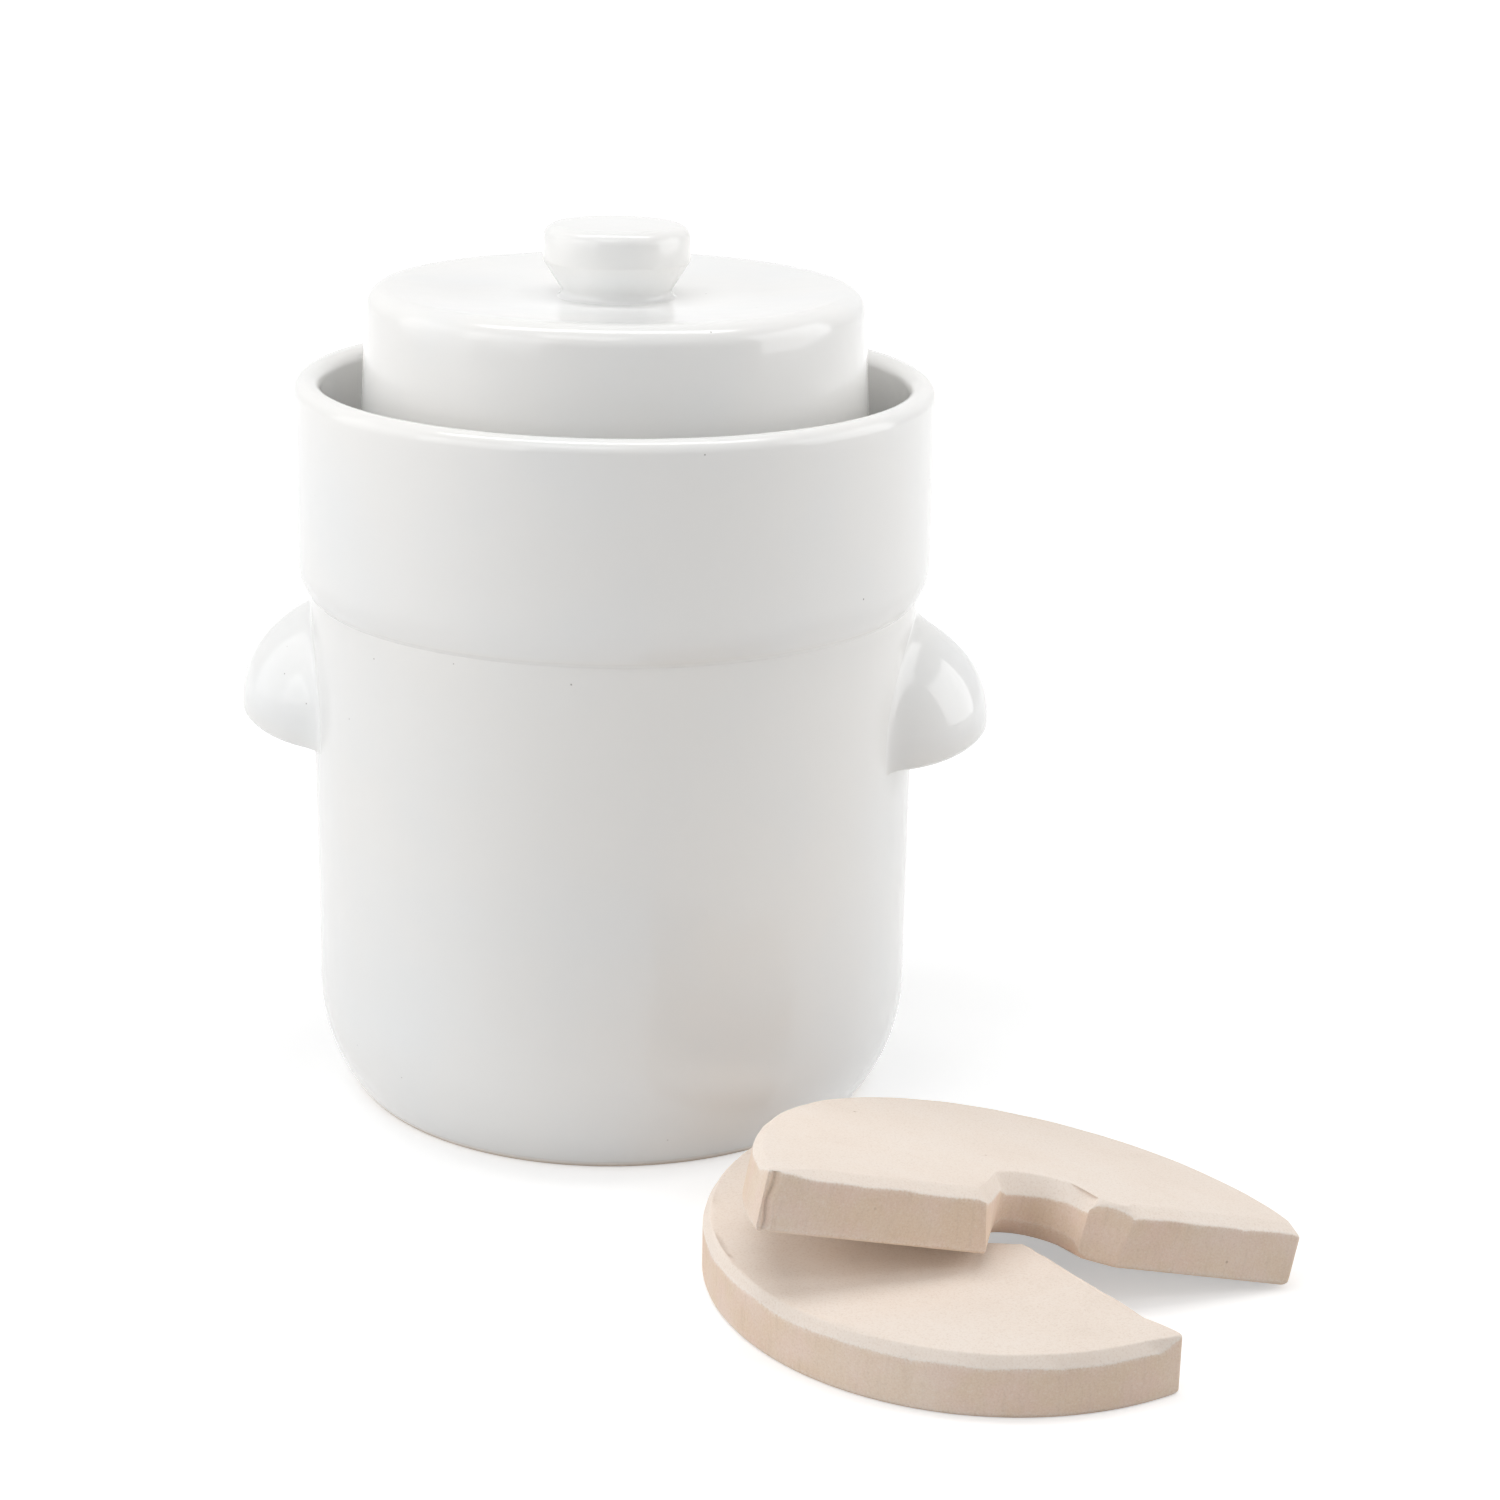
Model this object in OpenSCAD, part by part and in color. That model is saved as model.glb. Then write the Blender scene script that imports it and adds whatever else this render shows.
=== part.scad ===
// Fermentation crock with a water-sealed lid and a split weighting stone.
//
// The crock is stoneware: a thrown pot with a neck, a tall collar luted round
// the neck so that the two hold a ring of water, and two ear lugs to carry it.
// The lid is a cap whose skirt stands in the water. The stone is a disc cut in
// halves, which go in through the neck one by one and lie on the food. Both
// halves are shown beside the crock, one flat and one leaning on its edge.
//
// Millimetres, +Z up, the origin on the floor at the crock's own axis, the
// lugs along X.

/* [Crock] */
// Outer radius of the pot's straight wall
body_r = 83.5; // [79:0.5:85.5]
// Radius of the foot where it meets the floor
foot_r = 73.5; // [66:0.5:77]
// Height at which the rounded lower corner runs into the wall
corner_h = 30; // [18:1:45]
// Thickness of the pot's wall
wall = 7; // [5:0.5:9]
// Thickness of the pot's floor
floor_t = 8; // [6:0.5:12]
// Depth of the hollow under the foot ring
foot_recess = 2; // [1:0.5:4]
// Width of the foot ring
foot_ring = 10; // [6:1:20]
// Rounding of the inside at the floor
inner_round = 22; // [10:1:30]
// Thickness of the pot's shoulder under the water channel
shoulder_t = 7; // [5:0.5:12]
// Rounding of the inside under the shoulder
shoulder_round = 10; // [5:1:16]

/* [Water collar] */
// Height of the collar's lower edge
collar_z = 143.5; // [120:0.5:170]
// Height of the collar from its lower edge to the rim
collar_h = 57.5; // [45:0.5:75]
// Outer radius of the collar
collar_r = 87; // [86.5:0.5:92]
// Thickness of the collar's wall
collar_wall = 7.5; // [5:0.5:9]
// Height over which the collar curves in to the pot's wall
collar_curve = 10; // [7:0.5:16]
// Thickness of the water channel's floor
channel_floor = 7; // [5:0.5:10]
// Rounding between the channel's floor and the collar
channel_round = 5; // [2:0.5:7]

/* [Neck] */
// Outer radius of the neck inside the channel
neck_r = 60; // [56:0.5:61.5]
// Thickness of the neck
neck_wall = 6; // [4:0.5:8]
// How far the neck's lip stays below the rim
neck_drop = 11; // [6:0.5:20]

/* [Lid] */
// Radius of the skirt at its lower edge
skirt_r = 69; // [67.5:0.5:71]
// Height of the lid's top edge above the rim
lid_rise = 24.3; // [16:0.1:40]
// Slope of the skirt, in degrees from upright
skirt_draft = 2.2; // [0.5:0.1:3]
// Thickness of the lid
lid_wall = 5.5; // [4:0.5:6.5]
// Rounding of the lid's shoulder
lid_round = 4.5; // [2:0.5:8]
// Depth of the dish in the lid's top
dish = 3; // [1:0.25:4]
// Width of the gas notches in the skirt's lower edge
vent_w = 9; // [5:0.5:14]
// Height of the gas notches
vent_h = 5; // [3:0.5:8]

/* [Knob] */
// Radius of the knob's head
knob_r = 19.7; // [16:0.1:24]
// Height of the knob above the dish
knob_h = 19.6; // [15:0.1:26]
// Height of the upright band round the head, with its rounded edge
knob_band = 9.5; // [7:0.5:12]
// Rounding of the head's top edge
knob_round = 4; // [2:0.25:5]
// Rounding of the head's lower edge
knob_under = 1.5; // [0.5:0.25:2]
// Radius of the waist under the head
knob_waist = 15.3; // [11:0.1:15.5]
// Rounding between the waist and the lid
knob_fillet = 2.6; // [1:0.2:4]

/* [Lugs] */
// How far a lug stands out from the wall
lug_out = 21.8; // [15:0.1:28]
// Half of a lug's width where it leaves the wall
lug_w = 31; // [24:0.5:38]
// Height of a lug's tip above the floor
lug_z = 107.3; // [95:0.1:112]
// Height of the dome above the tip
lug_rise = 35.8; // [28:0.1:44]
// Drop of the lower edge from the tip to the wall
lug_drop = 7.8; // [3:0.1:12]
// Size of the fillet between a lug and the wall
lug_fillet = 5; // [2:0.5:8]
// Depth of the finger hollow under a lug
lug_hollow = 7; // [3:0.5:10]
// How far the rounded lip hangs below a lug's edge
lug_lip = 2.2; // [1:0.1:3]

/* [Weighting stone] */
// Radius of the stone
stone_r = 71.4; // [66:0.1:74]
// Thickness of the stone
stone_t = 15.6; // [12:0.1:18]
// Bevel of the round upper edge
arc_bevel = 3; // [1:0.25:5]
// Width of the bevel on the sawn upper edge
saw_bevel = 3.4; // [1:0.2:5]
// Drop of the bevel on the sawn upper edge
saw_bevel_drop = 1.9; // [0.5:0.1:3]
// Radius of the finger notch
notch_r = 12.5; // [10:0.5:15]
// Distance from the sawn edge to the notch's centre
notch_in = 3; // [0:0.25:6]
// Half of the width of the notch's flared mouth
notch_mouth = 19; // [17:0.5:24]
// Depth of the flare at the mouth
notch_flare = 7.5; // [5:0.25:9]
// Width of the bevel round the notch
notch_bevel = 4.6; // [2:0.2:6]
// Drop of the bevel round the notch
notch_bevel_drop = 2.9; // [1:0.1:4]
// Width of the bevel on the flared mouth
flare_bevel = 4; // [2:0.2:4.6]
// Drop of the bevel on the flared mouth
flare_bevel_drop = 2.4; // [1:0.1:2.8]

/* [Where the stones lie] */
// Distance of the flat half's centre from the crock's axis, along X
flat_x = 107.4; // [100:0.1:140]
// Distance of the flat half's centre from the crock's axis, along Y
flat_y = -122.2; // [-160:0.1:-118]
// Direction of the flat half's sawn edge
flat_turn = -51.5; // [-60:0.5:-45]
// How far the leaning half's centre is set back over the flat half
lean_back = 5.3; // [0:0.1:12]
// How far the leaning half is moved along the flat half's edge
lean_along = 26.2; // [18:0.1:36]
// Turn of the leaning half in its own plane
lean_turn = -18.4; // [-30:0.1:-8]

/* [Hidden] */
$fn = 96;

GLAZE = [0.95, 0.95, 0.94];
BISQUE = [0.91, 0.84, 0.77];

// Cutters pass the faces they cut by this much.
eps = 1;
// Room between two pieces that lift apart.
rest_gap = 0.2;

// A circle through the foot's edge that runs into the wall at corner_h.
corner_r = (pow(body_r - foot_r, 2) + pow(corner_h, 2)) / (2 * (body_r - foot_r));
// The same for the collar's curved lower edge.
curve_in = collar_r - body_r;
curve_r = (pow(curve_in, 2) + pow(collar_curve, 2)) / (2 * curve_in);

rim_z = collar_z + collar_h;
channel_z = collar_z + channel_floor;
inside_r = body_r - wall;
inside_z = foot_recess + floor_t;
shoulder_z = collar_z - shoulder_t;
neck_z = rim_z - neck_drop;
mouth_r = neck_r - neck_wall;

lid_z = rim_z + lid_rise;
skirt_z = channel_z + rest_gap;
dish_z = lid_z - dish;
dish_r = skirt_r - lid_round - (lid_z - skirt_z) * tan(skirt_draft);
ceiling_z = dish_z - lid_wall;

// A lug's fillet ends where the dome's own value has fallen by the fillet's size.
LUG_POWER = 2.2;
lug_reach = pow(1 + lug_fillet / lug_out, 1 / LUG_POWER);
lug_span = lug_w * lug_reach;
lug_angle = asin(lug_span / body_r);
// How the lower edge bows down from the tip: 1 is straight, 2 a parabola.
LUG_BOW = 1.5;
LUG_STEPS = 30;
DOME_STEPS = 16;
GRIP_STEPS = 10;
// Share of a lug's underside that its lip takes.
LIP = 0.2;
// A lug's inner face is made of flats that only touch the round wall.
lug_seat = body_r / cos(lug_angle / LUG_STEPS);
// Thickness at which a lug's fillet ends on the wall.
lug_edge = 0.15;

// The flat side of the notch's mouth runs from the sawn edge to the round end.
flare_x = sqrt(pow(notch_r, 2) - pow(notch_flare - notch_in, 2));
flare_l = norm([notch_mouth - flare_x, notch_flare]);
flare_turn = atan2(notch_flare, notch_mouth - flare_x);
function flare_at(y) = [notch_mouth - y / tan(flare_turn), y];

// The leaning half's lower face lies on the flat half's bevelled edge and
// comes down to the floor at its far side.
lean_tilt = asin((stone_t + rest_gap) / (stone_r - lean_back));

// Round sections

// Half section of a round block from z0 to z1, with its two edges rounded.
module round_block(r, z0, z1, low, high) {
    translate([0, z0 + low]) square([r, z1 - z0 - low - high]);
    translate([0, z0]) square([r - low, low]);
    translate([0, z1 - high]) square([r - high, high]);
    translate([r - low, z0 + low]) circle(low);
    translate([r - high, z1 - high]) circle(high);
}

// Half section of a cap that narrows upwards by draft degrees from radius r
// at z0, with its shoulder rounded by an arc that touches side and top.
module drafted_cap(r, z0, z1, draft, rounding) {
    arc_z = z1 - rounding;
    arc_x = r - (arc_z - z0) * tan(draft) - rounding / cos(draft);
    touch = [arc_x + rounding * cos(draft), arc_z + rounding * sin(draft)];
    polygon([[0, z0], [r, z0], touch, [arc_x, arc_z], [0, arc_z]]);
    translate([0, arc_z - eps]) square([arc_x, rounding + eps]);
    translate([arc_x, arc_z]) circle(rounding);
}

// A standing wall between two radii with a round lip at z1.
module lipped_wall(r0, r1, z0, z1) {
    lip = (r1 - r0) / 2;
    translate([r0, z0]) square([r1 - r0, z1 - z0 - lip]);
    translate([r0 + lip, z1 - lip]) circle(lip);
}

// The region below the lid's dished top, a shallow bowl whose lowest point is
// at dish_z and whose edge, at dish_r, is as high as the lid.
module below_dish() {
    bowl_r = (pow(dish_r, 2) + pow(dish, 2)) / (2 * dish);
    difference() {
        square([collar_r, lid_z]);
        translate([0, dish_z + bowl_r]) circle(bowl_r, $fn = 360);
    }
}

// Crock

module pot_outside() {
    translate([0, corner_h]) square([body_r, collar_z - corner_h]);
    square([foot_r, corner_h]);
    intersection() {
        translate([body_r - corner_r, corner_h]) circle(corner_r, $fn = 180);
        translate([foot_r - eps, 0]) square([body_r - foot_r + eps, corner_h]);
    }
    translate([0, collar_z - eps]) square([neck_r - neck_wall / 2, eps]);
    lipped_wall(mouth_r, neck_r, collar_z - eps, neck_z);
}

module pot() color(GLAZE) rotate_extrude() difference() {
    pot_outside();
    round_block(inside_r, inside_z, shoulder_z, inner_round, shoulder_round);
    translate([0, shoulder_z - eps]) square([mouth_r, neck_z]);
    translate([0, -eps]) square([foot_r - foot_ring, foot_recess + eps]);
}

// The ring of water stands between this wall and the neck.
module water_collar() color(GLAZE) rotate_extrude() {
    collar_in = collar_r - collar_wall;
    translate([neck_r, collar_z]) square([collar_in - neck_r, channel_floor]);
    intersection() {
        translate([collar_r - curve_r, collar_z + collar_curve]) circle(curve_r, $fn = 180);
        translate([collar_in, collar_z]) square([collar_wall, collar_curve]);
    }
    lipped_wall(collar_in, collar_r, collar_z + collar_curve, rim_z);
    // the corner of the channel, filled and then hollowed round
    translate([collar_in - channel_round, channel_z]) difference() {
        square(channel_round);
        translate([0, channel_round]) circle(channel_round);
    }
}

// Lugs

// The larger of a and b, blended over k where they cross.
function blend_max(a, b, k) = max(a, b) + pow(max(k - abs(a - b), 0), 2) / (4 * k);

// How far a lug stands off the wall at u along it and height z: a dome that
// falls away sideways and upwards, with its fillet.
function lug_depth(u, z) =
    let (q = norm([u / lug_w, max(z - lug_z, 0) / lug_rise]))
    max(blend_max(lug_out * (1 - pow(q, LUG_POWER)), 0, lug_fillet), lug_edge);

// Height of a lug's lower edge at u along the wall.
function lug_low(u) = lug_z - lug_drop * pow(abs(u) / lug_span, LUG_BOW);

// Height at which a lug runs out into the wall, or into the collar over it.
function lug_top(u) =
    min(lug_z + lug_rise * sqrt(max(pow(lug_reach, 2) - pow(u / lug_w, 2), 0)), collar_z);

// One upright section of a lug, from its top: down the dome, round the lower
// edge, up into the finger hollow and back to the wall.
function lug_section(a) =
    let (u = body_r * sin(a), top = lug_top(u), low = lug_low(u),
         out = lug_depth(u, low), full = out / lug_out)
    concat(
        [[lug_seat, top]],
        [for (i = [0:DOME_STEPS])
            let (z = top + (low - top) * sin(90 * i / DOME_STEPS))
            [lug_seat + lug_depth(u, z), z]],
        [for (i = [1:GRIP_STEPS])
            let (w = i / GRIP_STEPS)
            [lug_seat + out * (1 - w), low + full * lug_under(w)]]);

// Height of a lug's underside over its lower edge, w of the way to the wall:
// a thick lip, then the finger hollow.
function lug_under(w) =
    lug_hollow * pow(sin(90 * max(w - LIP, 0) / (1 - LIP)), 2)
    - lug_lip * sin(180 * min(w / (2 * LIP), 1)) - lug_drop * w;

// Skin over a row of sections with equal numbers of points, closed at both ends.
module skin(rows) {
    n = len(rows);
    m = len(rows[0]);
    polyhedron(
        points = [for (row = rows) each row],
        faces = concat(
            [for (i = [0:n - 2], j = [0:m - 1])
                let (k = (j + 1) % m)
                each [[i * m + j, (i + 1) * m + k, i * m + k],
                      [i * m + j, (i + 1) * m + j, (i + 1) * m + k]]],
            [for (j = [1:m - 2]) [0, j, j + 1]],
            [for (j = [1:m - 2]) (n - 1) * m * [1, 1, 1] + [0, j + 1, j]]));
}

module lug() skin([for (i = [0:LUG_STEPS])
    let (a = lug_angle * (2 * i / LUG_STEPS - 1))
    [for (p = lug_section(a)) [p[0] * cos(a), p[0] * sin(a), p[1]]]]);

module lug_right() color(GLAZE) lug();
module lug_left() color(GLAZE) rotate(180) lug();

// Lid

module lid() color(GLAZE) difference() {
    rotate_extrude() difference() {
        intersection() {
            drafted_cap(skirt_r, skirt_z, lid_z, skirt_draft, lid_round);
            below_dish();
        }
        translate([0, -eps])
            drafted_cap(skirt_r - lid_wall, skirt_z, ceiling_z + eps, skirt_draft, lid_round);
    }
    // gas leaves through two notches in the lower edge
    translate([0, 0, skirt_z]) rotate([90, 0, 0])
        linear_extrude(2 * collar_r, center = true) {
            translate([-vent_w / 2, -eps]) square([vent_w, vent_h - vent_w / 2 + eps]);
            translate([0, vent_h - vent_w / 2]) circle(vent_w / 2);
        }
}

// Where a line from p touches the lower right of a circle.
function touch_point(p, centre, r) =
    let (back = p - centre, a = atan2(back[1], back[0]) + acos(r / norm(back)))
    centre + r * [cos(a), sin(a)];

module lid_knob() color(GLAZE) rotate_extrude() difference() {
    top_z = dish_z + knob_h;
    band_z = top_z - knob_band;
    waist = [knob_waist, dish_z + knob_fillet];
    flare = touch_point(waist, [knob_r - knob_under, band_z + knob_under], knob_under);
    union() {
        round_block(knob_r, band_z, top_z, knob_under, knob_round);
        polygon([[0, dish_z - eps], [knob_waist, dish_z - eps], waist, flare, [0, flare[1]]]);
        translate([knob_waist, dish_z - eps]) difference() {
            square([knob_fillet, knob_fillet + eps]);
            translate([knob_fillet, knob_fillet + eps]) circle(knob_fillet);
        }
    }
    below_dish();
}

// Weighting stone

// A wedge along X that takes a bevel of width w and drop d off an upper edge
// on the XZ plane.
module bevel_cut(length, w, d)
    rotate([90, 0, 90]) linear_extrude(length, center = true)
        polygon([[-w, d * 2], [-w, -d], [0, -d], [w, 0], [2 * w, d], [w, d * 2]]);

// One half: its sawn face on the XZ plane, its round edge towards +Y.
module stone_half() color(BISQUE) difference() {
    rotate_extrude() polygon([[0, 0], [stone_r, 0], [stone_r, stone_t - arc_bevel],
                              [stone_r - arc_bevel, stone_t], [0, stone_t]]);
    translate([-2 * stone_r, -2 * stone_r, -eps]) cube([4 * stone_r, 2 * stone_r, stone_t + 2 * eps]);
    translate([0, 0, stone_t]) bevel_cut(4 * stone_r, saw_bevel, saw_bevel_drop);
    // the finger notch: a round end, its flared mouth and the bevels of both
    translate([0, notch_in, -eps]) cylinder(r = notch_r, h = stone_t + 2 * eps);
    translate([0, notch_in, stone_t - notch_bevel_drop])
        cylinder(r1 = notch_r, r2 = notch_r + notch_bevel * 2, h = notch_bevel_drop * 2);
    for (side = [0, 1]) mirror([side, 0, 0]) {
        translate([0, 0, -eps]) linear_extrude(stone_t + 2 * eps)
            polygon([[0, -eps], flare_at(-eps), flare_at(notch_in + notch_r / 2), [0, notch_in]]);
        translate(concat(flare_at(notch_flare / 2), [stone_t]))
            rotate(-flare_turn) bevel_cut(flare_l + flare_bevel, flare_bevel, flare_bevel_drop);
    }
}

module stone_flat() translate([flat_x, flat_y, 0]) rotate(flat_turn + 180) stone_half();

module stone_leaning()
    translate([flat_x, flat_y, 0]) rotate(flat_turn + 90)
    translate([-saw_bevel, 0, stone_t + rest_gap]) rotate([0, lean_tilt, 0])
    translate([-lean_back, -lean_along, 0]) rotate(lean_turn) stone_half();

pot();
water_collar();
lug_right();
lug_left();
lid();
lid_knob();
stone_flat();
stone_leaning();
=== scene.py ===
"""A white stoneware fermentation crock with a water-sealed lid and a weighting stone in halves.

Metres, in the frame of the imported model: the floor is z = 0, the crock stands on
the origin, its lugs point along X, and the camera is on the side of -Y.
"""

import bpy
import numpy as np
from mathutils import Matrix, Vector


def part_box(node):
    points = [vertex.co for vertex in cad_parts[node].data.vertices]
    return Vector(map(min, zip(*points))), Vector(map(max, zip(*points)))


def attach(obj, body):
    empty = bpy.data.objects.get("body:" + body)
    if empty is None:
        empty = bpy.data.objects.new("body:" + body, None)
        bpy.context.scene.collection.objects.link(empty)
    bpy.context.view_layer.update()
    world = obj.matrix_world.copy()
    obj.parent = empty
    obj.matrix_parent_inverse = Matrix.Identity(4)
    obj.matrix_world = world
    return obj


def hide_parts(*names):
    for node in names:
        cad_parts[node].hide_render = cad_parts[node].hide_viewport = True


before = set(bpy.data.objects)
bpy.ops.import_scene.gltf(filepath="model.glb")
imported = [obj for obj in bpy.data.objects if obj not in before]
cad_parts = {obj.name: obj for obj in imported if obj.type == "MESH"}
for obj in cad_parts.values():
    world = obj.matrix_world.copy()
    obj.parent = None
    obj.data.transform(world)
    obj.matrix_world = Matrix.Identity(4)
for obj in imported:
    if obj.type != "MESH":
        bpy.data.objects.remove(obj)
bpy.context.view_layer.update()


# Camera
# It stood a little above the rim and about 0.8 m away, looked down by 18 degrees and
# was tipped by about one degree.
CAMERA_PLACE = (0.0836, -0.7956, 0.3545)
CAMERA_TURN = 3.252
CAMERA_PITCH = 18.012
CAMERA_ROLL = 1.158
CAMERA_LENS = 71.42
CAMERA_SENSOR = 36

camera = bpy.data.objects.new("camera", bpy.data.cameras.new("camera"))
camera.data.lens = CAMERA_LENS
camera.data.sensor_width = CAMERA_SENSOR
camera.matrix_world = (
    Matrix.Translation(CAMERA_PLACE)
    @ Matrix.Rotation(np.radians(CAMERA_TURN), 4, "Z")
    @ Matrix.Rotation(np.radians(90 - CAMERA_PITCH), 4, "X")
    @ Matrix.Rotation(np.radians(CAMERA_ROLL), 4, "Z")
)
bpy.context.scene.collection.objects.link(camera)
bpy.context.scene.camera = camera


# Pot
# The pot is thrown stoneware with a rounded lower corner, a shoulder and a neck. It is
# dipped in white glaze, and the foot ring that it stands on is wiped bare.
body_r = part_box("pot")[1].x
neck_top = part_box("pot")[1].z
shoulder_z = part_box("water_collar")[0].z
FOOT_R = 0.0735
FOOT_RING = 0.010
FOOT_RECESS = 0.002
FOOT_WIPED = 0.00048
FOOT_GLAZED = 0.00128
CORNER_TOP = 0.0133
CORNER_ROUND = 0.047
WALL = 0.007
FLOOR = 0.008
FLOOR_ROUND = 0.022
SHOULDER = 0.007
SHOULDER_ROUND = 0.010
NECK_R = 0.060
MOUTH_R = 0.054
MOUTH_ROUND = 0.003
LIP_SHARE = 0.49
EDGE_ROUND = 0.0012
KEEN_ROUND = 0.0025
PROFILE_STEP = 0.003
ARC_STEP = 0.1
TURNS = 288
OVAL = 0.0011
OVAL_DRIFT = 9
THREE_SIDED = 0.0006
THREE_DRIFT = 14
POLE = 1e-9
SHARP_ANGLE = np.radians(70)

GLAZE = (0.905, 0.90, 0.885, 1)
GLAZE_COOL = (0.885, 0.892, 0.89, 1)
GLAZE_THIN = (0.87, 0.84, 0.79, 1)
SPECK = (0.23, 0.20, 0.18, 1)
BARE_CLAY = (0.74, 0.63, 0.52, 1)
THINNING = 0.2
SPECK_STRENGTH = 0.75
GLAZE_ROUGH = (0.07, 0.13)
BARE_ROUGH = 0.7
RIPPLE_HEIGHT = 0.00006
PEEL_HEIGHT = 0.000003


def rounded(corners):
    """A profile through corners (r, z, rounding): straight runs between arcs that touch both sides.

    Returns the points (r, z) and, for each, how strongly it bends: above 0 on an
    outer edge, below 0 in an inner corner.
    """
    corner = np.array(corners, float)
    points, bends = [], []
    for i, (r, z, rounding) in enumerate(corner):
        here = np.array([r, z])
        if i in (0, len(corner) - 1) or rounding == 0:
            points.append(here[None])
            bends.append(np.zeros(1))
            continue
        back = corner[i - 1, :2] - here
        ahead = corner[i + 1, :2] - here
        back, ahead = back / np.linalg.norm(back), ahead / np.linalg.norm(ahead)
        half = np.arccos(np.clip(back @ ahead, -1, 1)) / 2
        middle = (back + ahead) / np.linalg.norm(back + ahead)
        centre = here + middle * rounding / np.sin(half)
        start = here + back * rounding / np.tan(half) - centre
        turn = np.pi - 2 * half
        side = np.sign(ahead[0] * back[1] - ahead[1] * back[0])
        sweep = side * np.linspace(0, turn, 3 + int(turn / ARC_STEP))
        angle = np.arctan2(start[1], start[0]) + sweep
        points.append(centre + rounding * np.stack([np.cos(angle), np.sin(angle)], -1))
        bends.append(np.full(len(angle), side * min(1, KEEN_ROUND / rounding)))
    points, bends = np.concatenate(points), np.concatenate(bends)
    length = np.linalg.norm(np.diff(points, axis=0), axis=1)
    cuts = np.maximum(1, np.ceil(length / PROFILE_STEP)).astype(int)
    along = np.concatenate([i + np.arange(n) / n for i, n in enumerate(cuts)] + [[len(length)]])
    place = np.arange(len(points))
    profile = np.stack([np.interp(along, place, points[:, k]) for k in (0, 1)], -1)
    return profile, np.interp(along, place, bends)


def thrown(turn, z):
    """How far a thrown wall is out of round, as a share of its radius: an oval and a three-sided
    wave round the axis, which both drift with height.
    """
    oval = OVAL * np.sin(2 * turn + OVAL_DRIFT * z)
    three_sided = THREE_SIDED * np.sin(3 * turn - THREE_DRIFT * z + 1)
    return 1 + oval + three_sided


def revolved(profile, turns=TURNS):
    """The profile carried round the axis: (r, z) goes to (r cos t, r sin t, z), with r out of
    round as thrown.
    """
    turn = np.linspace(0, 2 * np.pi, turns, endpoint=False)[None]
    r, z = profile[:, :1], profile[:, 1:]
    r = r * thrown(turn, z)
    return np.stack([r * np.cos(turn), r * np.sin(turn), z + 0 * turn], -1)


def skin(name, grid, ring=False, **marks):
    """A closed mesh over rows of points. Each row runs round and closes, a row of equal points is
    a pole, and with ring the last row also joins the first. Marks are kept as attributes of the
    points, one value per row or per point.
    """
    rows, cols = grid.shape[:2]
    index = np.arange(rows * cols).reshape(rows, cols)
    for end in (0, -1):
        if not ring and np.ptp(grid[end], axis=0).max() < POLE:
            index[end] = index[end, 0]
    low, high = (index, np.roll(index, -1, 0)) if ring else (index[:-1], index[1:])
    quads = np.stack([low, np.roll(low, -1, 1), np.roll(high, -1, 1), high], -1).reshape(-1, 4)
    used, quads = np.unique(quads, return_inverse=True)
    faces = [tuple(dict.fromkeys(quad)) for quad in quads.reshape(-1, 4).tolist()]
    mesh = bpy.data.meshes.new(name)
    mesh.from_pydata(grid.reshape(-1, 3)[used].tolist(), [], faces)
    for label, values in marks.items():
        values = np.asarray(values)
        values = np.broadcast_to(values if values.ndim == 2 else values[:, None], (rows, cols))
        layer = mesh.attributes.new(label, "FLOAT", "POINT")
        layer.data.foreach_set("value", values.reshape(-1)[used].astype(np.float32))
    mesh.shade_smooth()
    mesh.set_sharp_from_angle(angle=SHARP_ANGLE)
    piece = bpy.data.objects.new(name, mesh)
    bpy.context.scene.collection.objects.link(piece)
    return piece


def node(tree, kind, **inputs):
    """A shader node with its inputs set, by name or, as _0 and so on, by number; an input given as
    a socket is linked.
    """
    made = tree.nodes.new("ShaderNode" + kind)
    for name, value in inputs.items():
        key = int(name[1:]) if name[0] == "_" else name.replace("_", " ")
        if isinstance(value, bpy.types.NodeSocket):
            tree.links.new(value, made.inputs[key])
        else:
            made.inputs[key].default_value = value
    return made


def blend(tree, share, first, second):
    """A colour between first and second."""
    made = tree.nodes.new("ShaderNodeMix")
    made.data_type = "RGBA"
    for key, value in ((0, share), (6, first), (7, second)):
        if isinstance(value, bpy.types.NodeSocket):
            tree.links.new(value, made.inputs[key])
        else:
            made.inputs[key].default_value = value
    return made.outputs[2]


def span(tree, value, low, high, to_low=0.0, to_high=1.0):
    """Value taken from low..high to to_low..to_high, and no further."""
    ends = {"From_Min": low, "From_Max": high, "To_Min": to_low, "To_Max": to_high}
    return node(tree, "MapRange", Value=value, **ends).outputs["Result"]


def times(tree, first, second):
    """The product of two values."""
    made = node(tree, "Math", _0=first, _1=second)
    made.operation = "MULTIPLY"
    return made.outputs[0]


def mark(tree, name):
    """A value that skin kept on the points of the mesh."""
    made = tree.nodes.new("ShaderNodeAttribute")
    made.attribute_name = name
    return made.outputs["Fac"]


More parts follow.
